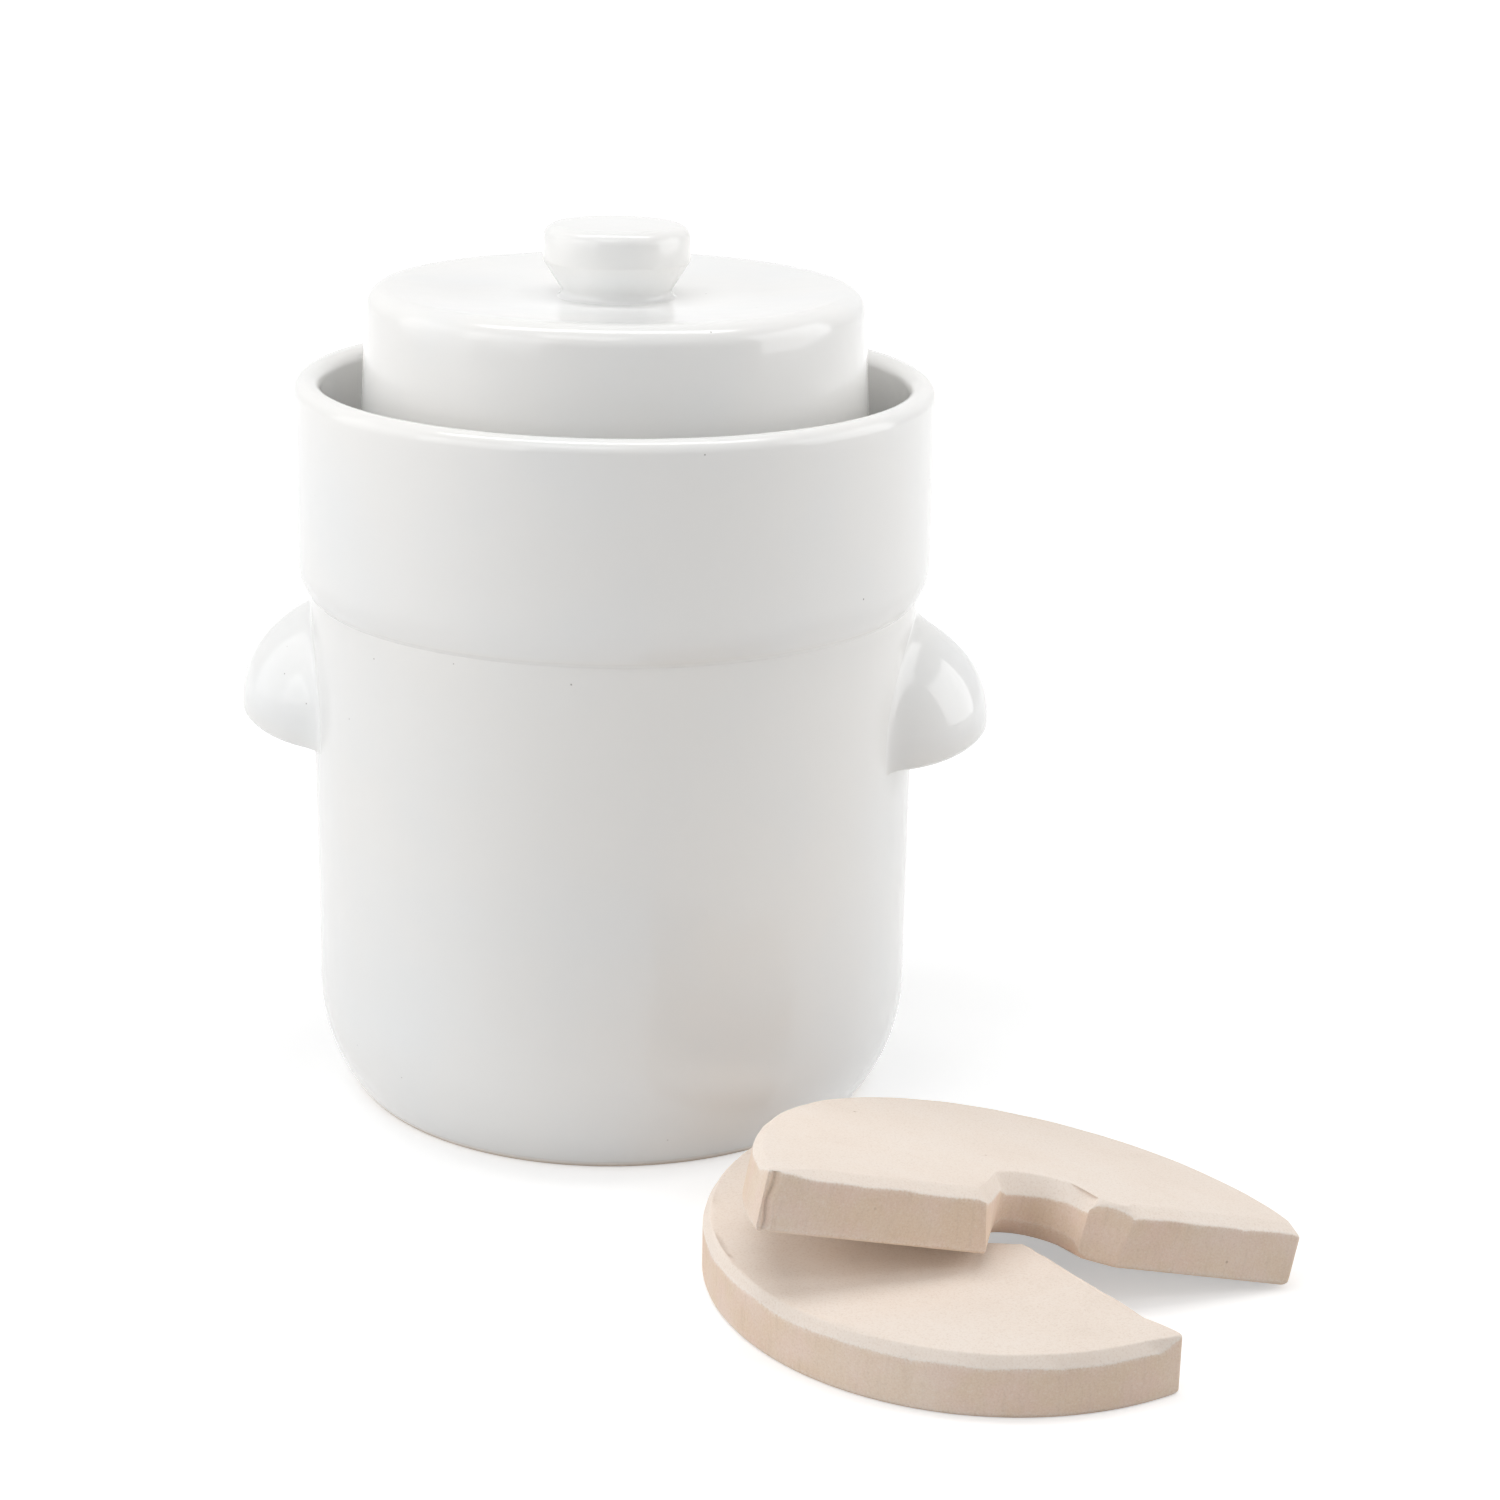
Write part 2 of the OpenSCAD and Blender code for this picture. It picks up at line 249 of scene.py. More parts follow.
def white_glaze():
    """Glossy white glaze: faint cool clouds, sparse dark specks, thinner on edges, bare clay where
    it was wiped.
    """
    made = bpy.data.materials.new("white_glaze")
    made.use_nodes = True
    tree = made.node_tree
    shader = tree.nodes["Principled BSDF"]
    place = node(tree, "TexCoord").outputs["Object"]
    bare = mark(tree, "bare")
    clouds = node(tree, "TexNoise", Vector=place, Scale=22.0, Detail=3.0).outputs["Fac"]
    colour = blend(tree, span(tree, clouds, 0.42, 0.68), GLAZE, GLAZE_COOL)
    thin = span(tree, mark(tree, "edge"), 0.1, 1.0, 0.0, THINNING)
    colour = blend(tree, thin, colour, GLAZE_THIN)
    grains = node(tree, "TexVoronoi", Vector=place, Scale=125.0)
    draw = node(tree, "SeparateColor", Color=grains.outputs["Color"]).outputs[0]
    dot = span(tree, grains.outputs["Distance"], 0.04, 0.018, 0.0, SPECK_STRENGTH)
    colour = blend(tree, times(tree, dot, span(tree, draw, 0.7, 0.72)), colour, SPECK)
    colour = blend(tree, bare, colour, BARE_CLAY)
    tree.links.new(colour, shader.inputs["Base Color"])
    ripple = node(tree, "TexNoise", Vector=place, Scale=55.0, Detail=2.0).outputs["Fac"]
    peel = node(tree, "TexNoise", Vector=place, Scale=420.0, Detail=2.0).outputs["Fac"]
    gloss = span(tree, ripple, 0.3, 0.7, *GLAZE_ROUGH)
    rough = node(tree, "Math", _0=gloss, _1=times(tree, bare, BARE_ROUGH))
    tree.links.new(rough.outputs[0], shader.inputs["Roughness"])
    wave = node(tree, "Bump", Height=ripple, Distance=RIPPLE_HEIGHT, Strength=1.0).outputs[0]
    fine = node(tree, "Bump", Height=peel, Distance=PEEL_HEIGHT, Strength=1.0, Normal=wave)
    tree.links.new(fine.outputs[0], shader.inputs["Normal"])
    return made


glaze = white_glaze()
inside_r = body_r - WALL
inside_z = FOOT_RECESS + FLOOR
under_shoulder = shoulder_z - SHOULDER
neck_lip = LIP_SHARE * (NECK_R - MOUTH_R)
pot_profile, pot_bend = rounded([
    (0, FOOT_RECESS, 0),
    (FOOT_R - FOOT_RING, FOOT_RECESS, EDGE_ROUND / 2),
    (FOOT_R - FOOT_RING, 0, EDGE_ROUND / 2),
    (FOOT_R, 0, EDGE_ROUND),
    (body_r, CORNER_TOP, CORNER_ROUND),
    (body_r, shoulder_z, EDGE_ROUND),
    (NECK_R, shoulder_z, EDGE_ROUND),
    (NECK_R, neck_top, neck_lip),
    (MOUTH_R, neck_top, neck_lip),
    (MOUTH_R, under_shoulder, MOUTH_ROUND),
    (inside_r, under_shoulder, SHOULDER_ROUND),
    (inside_r, inside_z, FLOOR_ROUND),
    (0, inside_z, 0),
])
pot_bare = np.interp(pot_profile[:, 1], (FOOT_WIPED, FOOT_GLAZED), (1, 0))
pot = skin("crock_pot", revolved(pot_profile), edge=pot_bend, bare=pot_bare)
pot.data.materials.append(glaze)
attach(pot, "crock")
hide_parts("pot")


# Water collar
# A ring luted on the shoulder, so that a channel for water stands between it and the
# neck. Its lower edge curves in to a soft lip over a fine hollow that the glaze fills.
collar_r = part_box("water_collar")[1].x
rim_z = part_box("water_collar")[1].z
COLLAR_WALL = 0.0075
COLLAR_CURVE = 0.010
COLLAR_SINK = 0.0005
CURVE_ROUND = 0.0155
CHANNEL_FLOOR = 0.007
CHANNEL_ROUND = 0.005
CREASE_DROP = 0.002
CREASE_SINK = 0.0009
CREASE_LIP = 0.0012
CREASE_LIP_RISE = 0.0004
CREASE_LIP_ROUND = 0.001

collar_in = collar_r - COLLAR_WALL
curve_corner = shoulder_z + COLLAR_CURVE / 2
channel_z = shoulder_z + CHANNEL_FLOOR
rim_round = LIP_SHARE * COLLAR_WALL
collar_profile, collar_bend = rounded([
    (NECK_R, shoulder_z - COLLAR_SINK, 0),
    (body_r - CREASE_SINK, shoulder_z - CREASE_DROP, 0),
    (body_r + CREASE_LIP, shoulder_z + CREASE_LIP_RISE, CREASE_LIP_ROUND),
    (collar_r, curve_corner, CURVE_ROUND),
    (collar_r, rim_z, rim_round),
    (collar_in, rim_z, rim_round),
    (collar_in, channel_z, CHANNEL_ROUND),
    (NECK_R, channel_z, 0),
])
collar_grid = revolved(collar_profile)
collar = skin("crock_collar", collar_grid, ring=True, edge=collar_bend, bare=0 * collar_bend)
collar.data.materials.append(glaze)
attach(collar, "crock")
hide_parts("water_collar")


# Lugs
# Two ears pressed from the same clay and luted on below the collar: a dome that falls
# away upwards and to both sides, with a thick lower lip and a hollow for the fingers.
LUG_OUT = 0.0209
LUG_HALF = 0.0298
LUG_TIP = 0.1073
LUG_RISE = 0.029
LUG_DROP = 0.0078
LUG_FILLET = 0.005
LUG_HOLLOW = 0.007
LUG_LIP = 0.0022
LUG_LIP_SHARE = 0.2
LUG_POWER = 2.5
LUG_BOW = 1.5
LUG_SINK = 0.00001
LUG_ENDS = 0.995
LUG_EDGE = 0.003
LUG_EDGE_SHARE = 0.12
LUG_COLUMNS = 141
LUG_ROWS = 72
UNDER_ROWS = 48
UNDER_CROWDING = 1.6


def lug(turned):
    """A lug as upright sections at angle a round the wall, u = r sin a along it. It stands off the
    wall by out (1 - q^power) with q^2 = (u / half)^2 + (height over the tip / rise)^2, blended into
    the wall over a fillet. Its underside goes back to the wall by w from 0 to 1, first round a lip
    and then up into a hollow. Returns the points and how near each is to the lower edge.
    """
    reach = (1 + LUG_FILLET / LUG_OUT) ** (1 / LUG_POWER)
    foot_half = LUG_HALF * reach
    widest = np.arcsin(LUG_ENDS * foot_half / body_r)
    angle = np.linspace(-1, 1, LUG_COLUMNS)[:, None] * widest
    u = np.abs(body_r * np.sin(angle))
    low = LUG_TIP - LUG_DROP * (u / foot_half) ** LUG_BOW
    above = LUG_TIP + LUG_RISE * np.sqrt(reach**2 - (u / LUG_HALF) ** 2)

    def depth(z):
        height = np.maximum(z - LUG_TIP, 0)
        dome = LUG_OUT * (1 - np.hypot(u / LUG_HALF, height / LUG_RISE) ** LUG_POWER)
        fillet = np.maximum(LUG_FILLET - np.abs(dome), 0) ** 2 / (4 * LUG_FILLET)
        return np.maximum(dome, 0) + fillet

    z = above + (low - above) * (1 - np.cos(np.linspace(0, np.pi, LUG_ROWS))) / 2
    out = depth(low)
    w = np.linspace(0, 1, UNDER_ROWS)[None, 1:] ** UNDER_CROWDING
    lip_in = np.minimum(w / LUG_LIP_SHARE, 1)
    lip_off = np.clip(w / LUG_LIP_SHARE - 1, 0, 1)
    past_lip = np.maximum(w - LUG_LIP_SHARE, 0) / (1 - LUG_LIP_SHARE)
    under = (
        LUG_HOLLOW * np.sin(np.pi / 2 * past_lip) ** 2
        - LUG_LIP * np.sqrt(1 - (1 - lip_in) ** 2) * (1 - lip_off**2 * (3 - 2 * lip_off))
        - LUG_DROP * w
    )
    r = body_r - LUG_SINK + np.concatenate([depth(z), out * (1 - w)], 1)
    off_edge = np.concatenate([(z - low) / LUG_EDGE, w / LUG_EDGE_SHARE + 0 * low], 1)
    edge = np.exp(-(off_edge**2))
    z = np.concatenate([z, low + out / LUG_OUT * under], 1)
    turn = angle + turned
    r = r * thrown(turn, z)
    grid = np.stack([r * np.cos(turn), r * np.sin(turn), z], -1)
    ends = [np.broadcast_to(grid[i].mean(0), grid[i].shape)[None] for i in (0, -1)]
    return np.concatenate([ends[0], grid, ends[1]]), edge[[0, *range(len(edge)), -1]]


for side, turned in (("right", 0), ("left", np.pi)):
    ear_grid, ear_edge = lug(turned)
    ear = skin(f"crock_lug_{side}", ear_grid, edge=ear_edge, bare=0 * ear_edge)
    ear.data.materials.append(glaze)
    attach(ear, "crock")
    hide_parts(f"lug_{side}")


# Lid
# A cap turned from one piece of clay. Its skirt stands in the water, with a notch for
# gas on two sides, its top is dished, and it is fired on the bare edge of its skirt.
skirt_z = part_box("lid")[0].z
lid_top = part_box("lid")[1].z
SKIRT_R = 0.0709
SKIRT_DRAFT = np.radians(3)
SKIRT_WIPED = 0.0006
SKIRT_GLAZED = 0.0018
LID_WALL = 0.0055
LID_ROUND = 0.0055
CEILING_ROUND = 0.004
BROW_IN = 0.002
BROW_DROP = 0.0001
BROW_ROUND = 0.012
DISH = 0.003
DISH_STEPS = 24
DISH_FIRST = 3
VENT_W = 0.009
VENT_H = 0.005
VENT_FADE = 2.5
VENT_OFF_AXIS = 0.03

dish_z = lid_top - DISH
ceiling_z = dish_z - LID_WALL
shoulder_r = SKIRT_R - (lid_top - skirt_z) * np.tan(SKIRT_DRAFT)
ceiling_r = SKIRT_R - LID_WALL - (ceiling_z - skirt_z) * np.tan(SKIRT_DRAFT)
dish_r = shoulder_r - LID_ROUND
dish_run = np.linspace(dish_r, 0, DISH_STEPS)[DISH_FIRST:]
lid_profile, lid_bend = rounded([
    (0, ceiling_z, 0),
    (ceiling_r, ceiling_z, CEILING_ROUND),
    (SKIRT_R - LID_WALL, skirt_z, EDGE_ROUND),
    (SKIRT_R, skirt_z, EDGE_ROUND),
    (shoulder_r, lid_top, LID_ROUND),
    (dish_r - BROW_IN, lid_top - BROW_DROP, BROW_ROUND),
    *[(r, dish_z + DISH * (r / dish_r) ** 2, 0) for r in dish_run],
])
lid_grid = revolved(lid_profile)
lid_bare = np.interp(lid_profile[:, 1] - skirt_z, (SKIRT_WIPED, SKIRT_GLAZED), (1, 0))
x, y, z = np.moveaxis(lid_grid, -1, 0)
vent_arch = VENT_H * np.sqrt(np.maximum(1 - (x / (VENT_W / 2)) ** 2, 0))
near_edge = np.clip(1 - (z - skirt_z) / (VENT_FADE * VENT_H), 0, 1)
lid_grid[..., 2] += vent_arch * (np.abs(y) > VENT_OFF_AXIS) * near_edge
lid = skin("lid_cap", lid_grid, edge=lid_bend, bare=lid_bare)
lid.data.materials.append(glaze)
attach(lid, "lid")
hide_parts("lid")


# Knob
# Turned from a lump of clay on the lid's middle: a head with a flat top and an upright
# band, a cone that narrows to the waist under it, and a small fillet into the dish.
knob_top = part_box("lid_knob")[1].z
KNOB_R = 0.0199
KNOB_BAND = 0.0095
KNOB_ROUND = 0.0036
KNOB_UNDER = 0.0011
KNOB_EASE = 0.0002
KNOB_WAIST = 0.0136
KNOB_WAIST_RISE = 0.0002
KNOB_FILLET = 0.0016
KNOB_SPREAD = 0.003
KNOB_SPREAD_RISE = 0.00015
KNOB_ROOT = 0.001

spread_r = KNOB_WAIST + KNOB_SPREAD
knob_profile, knob_bend = rounded([
    (0, dish_z - KNOB_ROOT, 0),
    (spread_r, dish_z - KNOB_ROOT, 0),
    (spread_r, dish_z + KNOB_SPREAD_RISE, 0),
    (KNOB_WAIST, dish_z + KNOB_WAIST_RISE, KNOB_FILLET),
    (KNOB_R, knob_top - KNOB_BAND, KNOB_UNDER),
    (KNOB_R - KNOB_EASE, knob_top - KNOB_EASE, KNOB_ROUND),
    (0, knob_top, 0),
])
knob_grid = revolved(knob_profile, TURNS // 2)
knob = skin("lid_knob_turned", knob_grid, edge=knob_bend, bare=0 * knob_bend)
knob.data.materials.append(glaze)
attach(knob, "lid")
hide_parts("lid_knob")


# Half stones
# A disc of unglazed fired clay sawn in two, each half with a finger notch in its sawn
# side. The upper edges are trimmed by hand, so the bevels waver and the edges are nicked.
STONE_R = 0.0714
STONE_T = 0.0156
ARC_BEVEL = 0.0018
ARC_BEVEL_DROP = 0.0028
SAW_BEVEL = 0.0034
SAW_BEVEL_DROP = 0.0019
NOTCH_R = 0.013
NOTCH_IN = 0.0027
NOTCH_X = 0.0015
MOUTH_LEFT = 0.0152
MOUTH_RIGHT = 0.0225
FLARE_LEFT = np.radians(58)
FLARE_RIGHT = np.radians(26)
NOTCH_BEVEL = 0.003
NOTCH_BEVEL_DROP = 0.0046
FLARE_BEVEL = 0.0028
FLARE_BEVEL_DROP = 0.003
LOW_BEVEL = 0.0007
LOW_BEVEL_DROP = 0.0009
LOW_NOTCH_BEVEL = 0.0016
LOW_NOTCH_DROP = 0.0042
LEFT_SLANT = 0.0018
RIGHT_SLANT = -0.001
SLANT_RUN = 0.014
STONE_EDGE = 0.00045
STONE_END_EDGE = 0.0018
STONE_END_RUN = 0.003
STONE_WEAR = 0.0009
STONE_MIDDLE = np.array([0, 0.6 * STONE_R])
BEVEL_BLEND = 0.002
ARC_TAPER = 0.008
SAW_TAPER = 0.016
TAPER_LEAST = 0.2
FLAT_KEPT = 0.7
WIDTH_WAVER = 0.18
WIDTH_NICKS = 0.1
DROP_WAVER = 0.22
DROP_WEAR = 0.5
LOW_WAVER = 0.2
RIM_WEAR = 0.4
NICK_WIDTH = (0.0005, 0.0022)
NICK_COUNT = 26
EDGE_MIDDLE = 1.5
# The pale line along the sides' upper and lower edges is a painted highlight: how many rows it
# spreads over, and how strong it is on the lower edge.
HIGHLIGHT_ROWS = 2.2
LOW_HIGHLIGHT = 0.6
SCAR_DEPTH = 0.0006
SCAR_GROOVE = (1.6, 0.0017, 0.0008)
SCAR_BURR = (-0.5, 0.0034, 0.0005)
SCAR_SWAY = 0.0004
SCAR_WAVES = 600
SCAR_FROM = 0.0002
SCAR_FADE = 0.001
DENT = 0.00008
RIGHT_SAW_POINTS = 100
ARC_POINTS = 240
LEFT_SAW_POINTS = 130
LEFT_FLAT_POINTS = 60
NOTCH_POINTS = 64
RIGHT_FLAT_POINTS = 40

FLAT_PLACE = (0.1074, -0.1222, 0)
FLAT_TURN = np.radians(-51.5)
LEAN_BACK = 0.0053
LEAN_ALONG = 0.0262
LEAN_TURN = np.radians(-18.4)
REST_GAP = 0.0002

TOP_CLAY = (0.88, 0.775, 0.685, 1)
# The two clays of the sides below are darker and warmer than the top's: this is painted shade.
SHADED_SIDE_CLAY = (0.82, 0.65, 0.505, 1)
PINK_CLAY = (0.84, 0.655, 0.54, 1)
# PALE_CLAY also paints the highlight along the sides' edges.
PALE_CLAY = (0.92, 0.865, 0.81, 1)
DARK_CLAY = (0.52, 0.39, 0.29, 1)
CLAY_ROUGH = 0.85
CLAY_SHINE = 0.2
SAND_HEIGHT = 0.00005
MOTTLE_HEIGHT = 0.0003

SAW, ARC, FLARE, NOTCH = range(4)
STONE_EDGES = (SAW, ARC, SAW, FLARE, NOTCH, FLARE)


def stone_outline(arc_in, saw_in, flare_in, notch_in):
    """The half's outline, moved inwards by these widths: right sawn edge, round edge, left sawn
    edge, the mouth's left flat, the notch's round end and the mouth's right flat, each crowded
    towards its ends.
    """
    notch_r = NOTCH_R + notch_in

    def mouth_side(mouth, slope, far):
        """Where a flat of the mouth cuts the sawn edge, and the angle at which it meets the round
        end, on its near or far side."""
        line = mouth * np.sin(slope) + flare_in
        off = (line - np.cos(slope) * NOTCH_IN) / notch_r
        cut = (line - np.cos(slope) * saw_in) / np.sin(slope)
        return cut, np.pi / 2 - slope + far * np.arccos(off)

    def crowded(count):
        return (1 - np.cos(np.linspace(0, np.pi, count, endpoint=False))) / 2

    def straight(start, end, count):
        return np.array(start) + crowded(count)[:, None] * (np.array(end) - np.array(start))

    def round_end(radius, middle, start, end, count):
        turn = start + (end - start) * crowded(count)
        return np.array(middle) + radius * np.stack([np.cos(turn), np.sin(turn)], -1)

    right_x, right_meet = mouth_side(MOUTH_RIGHT, FLARE_RIGHT, -1)
    left_x, left_meet = mouth_side(MOUTH_LEFT, FLARE_LEFT, 1)
    right, left = (NOTCH_X + right_x, saw_in), (NOTCH_X - left_x, saw_in)
    arc_end = np.arcsin(saw_in / (STONE_R - arc_in))
    end_x = (STONE_R - arc_in) * np.cos(arc_end)
    notch_at = (NOTCH_X, NOTCH_IN)
    notch = round_end(notch_r, notch_at, np.pi - left_meet, right_meet, NOTCH_POINTS)
    notch_end = (
        NOTCH_X + notch_r * np.cos(right_meet),
        NOTCH_IN + notch_r * np.sin(right_meet),
    )
    return [
        straight(right, (end_x, saw_in), RIGHT_SAW_POINTS),
        round_end(STONE_R - arc_in, (0, 0), arc_end, np.pi - arc_end, ARC_POINTS),
        straight((-end_x, saw_in), left, LEFT_SAW_POINTS),
        straight(left, notch[0], LEFT_FLAT_POINTS),
        notch,
        straight(notch_end, right, RIGHT_FLAT_POINTS),
    ]


def softened(outline, size):
    """A closed outline with rounded corners: each point is a mean over a length of size to both
    sides of it, which weighs most in the middle. Also returns the length run at each point.
    """
    loop = np.concatenate([outline, outline[:1]])
    run = np.concatenate([[0], np.cumsum(np.linalg.norm(np.diff(loop, axis=0), axis=1))])
    shift = np.linspace(-1, 1, 11)
    weight = 1.2 - shift**2
    at = (run[:-1, None] + shift * np.broadcast_to(size, len(outline))[:, None]) % run[-1]
    flat = [(np.interp(at, run, loop[:, k]) * weight).sum(1) / weight.sum() for k in (0, 1)]
    return np.stack(flat, -1), run[:-1]


def hand_wave(run, seed, shortest=0.012):
    """A slow random wave along a closed edge, from about -1 to 1: sines of rising number with
    random phase.
    """
    rng = np.random.default_rng(seed)
    number = np.arange(2, int(run[-1] / shortest), 3)
    phase = rng.uniform(0, 2 * np.pi, len(number))
    size = rng.uniform(0.3, 1, len(number)) / np.sqrt(number)
    waves = np.sin(2 * np.pi * run[:, None] / run[-1] * number + phase)
    return 1.6 * (size * waves).sum(1) / size.sum()


def nicks(run, seed):
    """Small worn places along an edge, from 0 to 1: narrow bumps at random places."""
    rng = np.random.default_rng(seed)
    place = rng.uniform(0, run[-1], NICK_COUNT)
    width = rng.uniform(*NICK_WIDTH, NICK_COUNT)
    depth = rng.uniform(0.1, 1, NICK_COUNT) ** 2
    bumps = np.exp(-(((run[:, None] - place) / width) ** 2))
    return np.clip((depth * bumps).sum(1), 0, 1)


def round_corner(before, corner, after, size):
    """Four rows that round a corner between two rows, by a parabola from size before it to size
    after it.
    """

    def towards(row):
        away = np.linalg.norm(row - corner, axis=1)
        return corner + (row - corner) * (size / np.maximum(away, size))[:, None]

    start, end = towards(before), towards(after)
    return [(1 - t) ** 2 * start + 2 * t * (1 - t) * corner + t**2 * end for t in (0, 0.3, 0.7, 1)]


def half_stone(name, place, seed, scar):
    """Rows of points from the middle of the lower face over the low bevel, the side and the bevel
    to the middle of the top. The bevels waver, run out towards the left end and leave the mouth's
    right flat nearly whole, and the mouth's corners slant with height. With a scar, a groove and a
    burr stand beside the left end of the sawn face.
    """
    parts = stone_outline(0, 0, 0, 0)
    kinds = np.repeat(STONE_EDGES, [len(part) for part in parts])
    first = np.cumsum([0] + [len(part) for part in parts])
    plan = np.concatenate(parts)
    _, run = softened(plan, STONE_EDGE)
    right_off, left_off = (np.abs(run - run[first[k]]) for k in (1, 2))
    at_right, at_left = (np.exp(-((off / STONE_END_RUN) ** 2)) for off in (right_off, left_off))
    end_size = STONE_EDGE + (STONE_END_EDGE - STONE_EDGE) * (at_right + (scar == 0) * at_left)

    def outline(*widths):
        return softened(np.concatenate(stone_outline(*widths)), end_size)[0]

    def spread(values):
        near = run[:, None] + np.linspace(-BEVEL_BLEND, BEVEL_BLEND, 9)
        return np.interp(near, run, np.choose(kinds, values), period=run[-1]).mean(1)

    outer = outline(0, 0, 0, 0)
    inner = outline(ARC_BEVEL, SAW_BEVEL, FLARE_BEVEL, NOTCH_BEVEL)
    foot = outline(LOW_BEVEL, LOW_BEVEL, LOW_BEVEL, LOW_NOTCH_BEVEL)
    taper = np.clip(left_off / np.where(kinds == ARC, ARC_TAPER, SAW_TAPER), 0, 1)
    share = TAPER_LEAST + (1 - TAPER_LEAST) * taper**2 * (3 - 2 * taper)
    flat_at = np.clip((np.arange(len(plan)) - first[5]) / (first[6] - first[5]), 0, 1)
    share = share * (1 - FLAT_KEPT * np.sin(np.pi * flat_at))
    worn = nicks(run, seed + 2)
    wide = share * (1 + WIDTH_WAVER * hand_wave(run, seed)) + WIDTH_NICKS * nicks(run, seed + 3)
    drop = spread([SAW_BEVEL_DROP, ARC_BEVEL_DROP, FLARE_BEVEL_DROP, NOTCH_BEVEL_DROP]) * share
    drop = drop * (1 + DROP_WAVER * hand_wave(run, seed + 1)) + STONE_WEAR * DROP_WEAR * worn
    low_drop = spread([LOW_BEVEL_DROP, LOW_BEVEL_DROP, LOW_BEVEL_DROP, LOW_NOTCH_DROP])
    low_drop = low_drop * (1 + LOW_WAVER * hand_wave(run, seed + 4))
    inner = outer + (inner - outer) * wide[:, None]
    inwards = STONE_MIDDLE - outer
    inwards = inwards / np.linalg.norm(inwards, axis=1)[:, None]

    def level(flat, z):
        return np.column_stack([flat, np.broadcast_to(z, len(flat))])

    def face(flat, z, shares):
        return [level(STONE_MIDDLE + (flat - STONE_MIDDLE) * s, z) for s in shares]

    def between(low, high, shares):
        return [low + (high - low) * s for s in shares]

    under = face(foot, 0, np.linspace(0, 0.98, 9))
    sole = level(foot, 0)
    low_rim = level(outer, low_drop)
    rim = level(outer + inwards * (STONE_WEAR * RIM_WEAR * worn)[:, None], STONE_T - drop)
    brow = level(inner, STONE_T)
    top = face(inner, STONE_T, np.linspace(0.985, 0, 20))
    sole_edge = round_corner(under[-1], sole, low_rim, STONE_EDGE)
    low_edge = round_corner(sole, low_rim, rim, STONE_EDGE)
    rim_edge = round_corner(low_rim, rim, brow, STONE_EDGE)
    brow_edge = round_corner(rim, brow, top[0], STONE_EDGE)
    steps = {
        "under": under,
        "sole": sole_edge,
        "low bevel": between(sole_edge[-1], low_edge[0], (0.5,)),
        "low": low_edge,
        "wall": between(low_edge[-1], rim_edge[0], np.linspace(0, 1, 14)[1:-1]),
        "rim": rim_edge,
        "bevel": between(rim_edge[-1], brow_edge[0], (0.33, 0.67)),
        "brow": brow_edge,
        "top": top,
    }
    start = dict(zip(steps, np.cumsum([0] + [len(step) for step in steps.values()])))
    grid = np.array(sum(steps.values(), []))
    rows = np.arange(len(grid))
    side = ((rows >= start["sole"]) & (rows < start["rim"] + 2)).astype(float)

    def painted_highlight(edge):
        return np.clip(1 - np.abs(rows - start[edge] - EDGE_MIDDLE) / HIGHLIGHT_ROWS, 0, 1)

    # Mask of the painted highlight: a pale line along the sides' upper edge and, weaker, along
    # their lower edge.
    trim = np.maximum(painted_highlight("rim"), LOW_HIGHLIGHT * painted_highlight("low"))
    x, y, z = np.moveaxis(grid, -1, 0)
    from_end = x + STONE_R - SCAR_SWAY * np.sin(SCAR_WAVES * z)
    scratch = sum(
        tall * np.exp(-(((from_end - at) / width) ** 2))
        for tall, at, width in (SCAR_GROOVE, SCAR_BURR)
    )
    for corner, slant in ((first[3], LEFT_SLANT), (0, RIGHT_SLANT)):
        off = np.abs((run - run[corner] + run[-1] / 2) % run[-1] - run[-1] / 2)
        x -= slant * np.clip(1 - off / SLANT_RUN, 0, 1) * (2 * z / STONE_T - 1)
    off_sole = np.clip((z - SCAR_FROM) / SCAR_FADE, 0, 1)
    y += scar * scratch * (kinds == SAW) * side[:, None] * off_sole
    dents = np.sin(170 * x + seed) * np.sin(210 * y + seed) + 0.6 * np.sin(430 * x - 390 * y)
    z += DENT * dents * (rows >= start["top"])[:, None]
    turned = np.array(place)
    placed = grid @ turned[:3, :3].T + turned[:3, 3]
    return skin(name, placed, side=side, trim=trim, run=run + 0 * z, rise=z)


